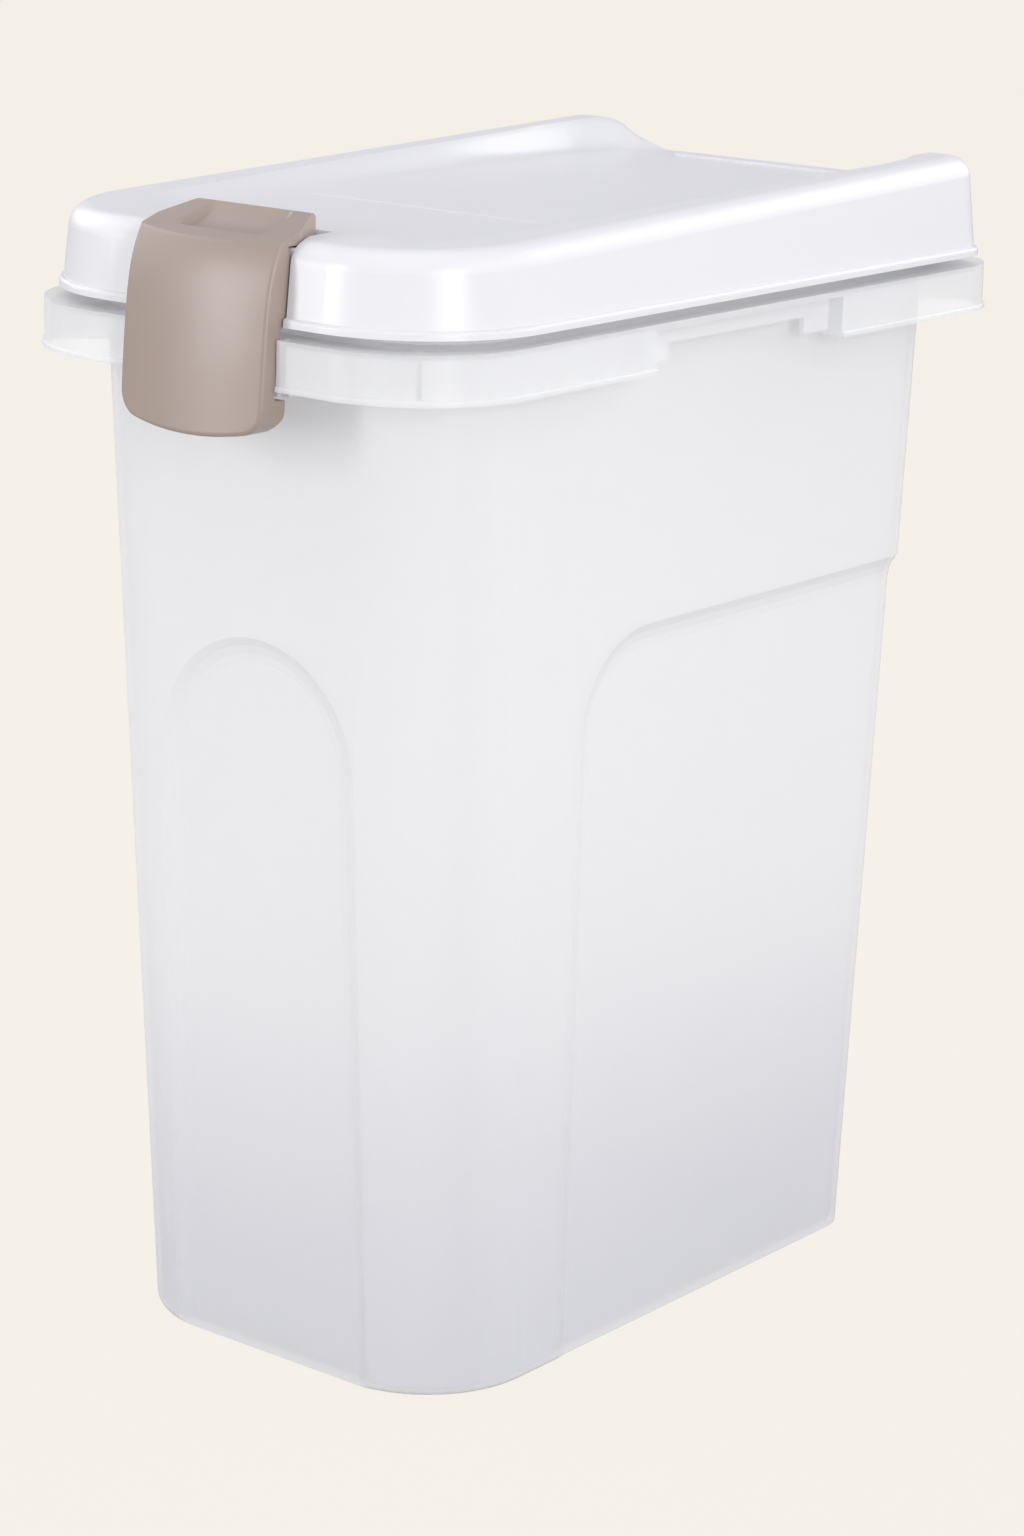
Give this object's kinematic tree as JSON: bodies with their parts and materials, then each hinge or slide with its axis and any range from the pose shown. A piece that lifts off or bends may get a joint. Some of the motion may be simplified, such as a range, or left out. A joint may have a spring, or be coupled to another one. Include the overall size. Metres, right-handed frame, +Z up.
{
  "type": "pet food storage container",
  "caption": "Tall tapered storage container for dry pet food with a translucent tub, carrying skirt, hinged lid with seal and a front clip.",
  "frame": {"origin": "centre of the underside of the tub's floor, which is the face that the container stands on", "axes": "+Z up, -Y towards the clip at the front, +X to the right seen from the front"},
  "size_m": [0.1976, 0.3401, 0.4094],
  "materials": {
    "tub_plastic": "translucent milky polypropylene, smooth outside",
    "lid_plastic": "near-white polypropylene, satin gloss",
    "clip_plastic": "taupe satin plastic",
    "seal_rubber": "soft translucent silicone",
    "pin_plastic": "natural white acetal rod"
  },
  "bodies": {
    "bucket": {"tub": "tub_plastic", "hinge_pin_left": "pin_plastic", "hinge_pin_right": "pin_plastic"},
    "lid": {"lid": "lid_plastic", "lid_seal": "seal_rubber", "clip_pin": "pin_plastic"},
    "clip": {"front_clip": "clip_plastic"}
  },
  "joints": [
    {"name": "lid_hinge", "type": "hinge", "parent": "bucket", "child": "lid", "pos_m": [0, 0.162, 0.3764], "axis": [-1, 0, 0], "range_deg": [0, 105]},
    {"name": "clip_pivot", "type": "hinge", "parent": "lid", "child": "clip", "pos_m": [0, -0.138, 0.4025], "axis": [-1, 0, 0], "range_deg": [0, 110]}
  ]
}
